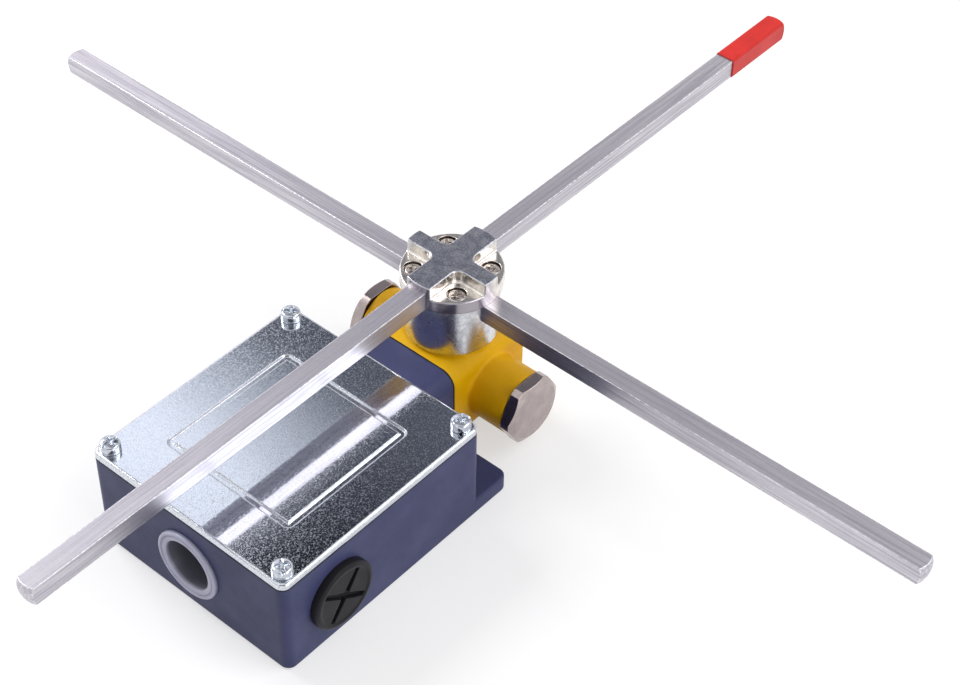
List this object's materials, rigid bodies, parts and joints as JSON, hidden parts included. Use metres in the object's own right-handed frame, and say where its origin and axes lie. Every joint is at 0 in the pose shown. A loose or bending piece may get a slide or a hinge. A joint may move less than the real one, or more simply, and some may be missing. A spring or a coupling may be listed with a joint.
{
  "type": "rod lever limit switch",
  "caption": "Limit switch in a die-cast box with a side-mounted turret head, whose crossed square rods turn a stay-put lever that works a contact block.",
  "frame": {"origin": "centre of the four mounting holes, on the mounting face", "axes": "+X towards the right-hand cable entry, +Y from the front cable entry to the lever head, +Z out of the cover, along the lever's axis"},
  "size_m": [0.3364, 0.3307, 0.0578],
  "materials": {
    "housing_paint": "satin blue-grey paint on a die casting",
    "cover_zinc": "bright zinc plating with a fine speckled grain",
    "screw_zinc": "bright zinc plating",
    "seal_rubber": "matte black rubber",
    "sleeve_plastic": "translucent natural plastic",
    "plug_plastic": "matte black moulded plastic",
    "head_paint": "satin golden-yellow paint on a die casting",
    "cap_nickel": "satin nickel plating",
    "hub_metal": "tumbled bright die casting",
    "rod_aluminium": "drawn aluminium with lengthwise lines",
    "red_plastic": "red moulded plastic",
    "shaft_steel": "ground steel",
    "bronze": "turned bronze",
    "spring_steel": "drawn spring wire",
    "contact_brass": "stamped brass",
    "block_plastic": "moulded insulating plastic",
    "carrier_plastic": "pale moulded plastic"
  },
  "bodies": {
    "housing": {"housing_casting": "housing_paint", "cover_gasket": "seal_rubber", "cover_plate": "cover_zinc", "cover_screw_washers": "screw_zinc", "cover_screws": "screw_zinc", "entry_sleeve": "sleeve_plastic", "blank_plug_right": "plug_plastic", "blank_plug_left": "plug_plastic", "neck_gasket": "seal_rubber", "head_casting": "head_paint", "head_screws": "screw_zinc", "lower_bush": "bronze", "bearing_plug": "bronze", "shaft_seal": "seal_rubber", "contact_block": "block_plastic", "contact_block_screws": "screw_zinc", "fixed_contacts": "contact_brass", "terminal_screws": "screw_zinc", "return_spring": "spring_steel", "earth_screw": "contact_brass", "detent_spring_right": "spring_steel", "cap_seal_right": "seal_rubber", "detent_cap_right": "cap_nickel", "detent_spring_left": "spring_steel", "cap_seal_left": "seal_rubber", "detent_cap_left": "cap_nickel"},
    "lever": {"lever_shaft": "shaft_steel", "detent_block": "shaft_steel", "drive_pin": "shaft_steel", "switching_cam": "shaft_steel", "hub_base": "hub_metal", "hub_cap": "hub_metal", "hub_screws": "screw_zinc", "hub_fixing_screw": "screw_zinc", "rod_lower": "rod_aluminium", "rod_upper": "rod_aluminium", "rod_sleeve": "red_plastic"},
    "switching_slide": {"tappet": "shaft_steel", "contact_carrier": "carrier_plastic", "contact_bridges": "contact_brass"},
    "plunger_right": {"detent_plunger_right": "shaft_steel"},
    "plunger_left": {"detent_plunger_left": "shaft_steel"}
  },
  "joints": [
    {"name": "lever_turn", "type": "hinge", "parent": "housing", "child": "lever", "pos_m": [0, 0.06145, 0.05], "axis": [0, 0, 1], "range_deg": [-90, 180]},
    {"name": "tappet_push", "type": "slide", "parent": "housing", "child": "switching_slide", "axis": [0, -1, 0], "range_m": [-0.00095, 0.0019], "stiffness_N_per_m": 600, "springref_m": -0.002, "deforming": ["return_spring"]},
    {"name": "detent_right", "type": "slide", "parent": "housing", "child": "plunger_right", "axis": [1, 0, 0], "range_m": [-0.00155, 0], "stiffness_N_per_m": 2000, "deforming": ["detent_spring_right"]},
    {"name": "detent_left", "type": "slide", "parent": "housing", "child": "plunger_left", "axis": [-1, 0, 0], "range_m": [-0.00155, 0], "stiffness_N_per_m": 2000, "deforming": ["detent_spring_left"]}
  ],
  "couplings": [
    {"joint": "tappet_push", "follows": "lever_turn", "m_per_rad": 0.0006}
  ]
}
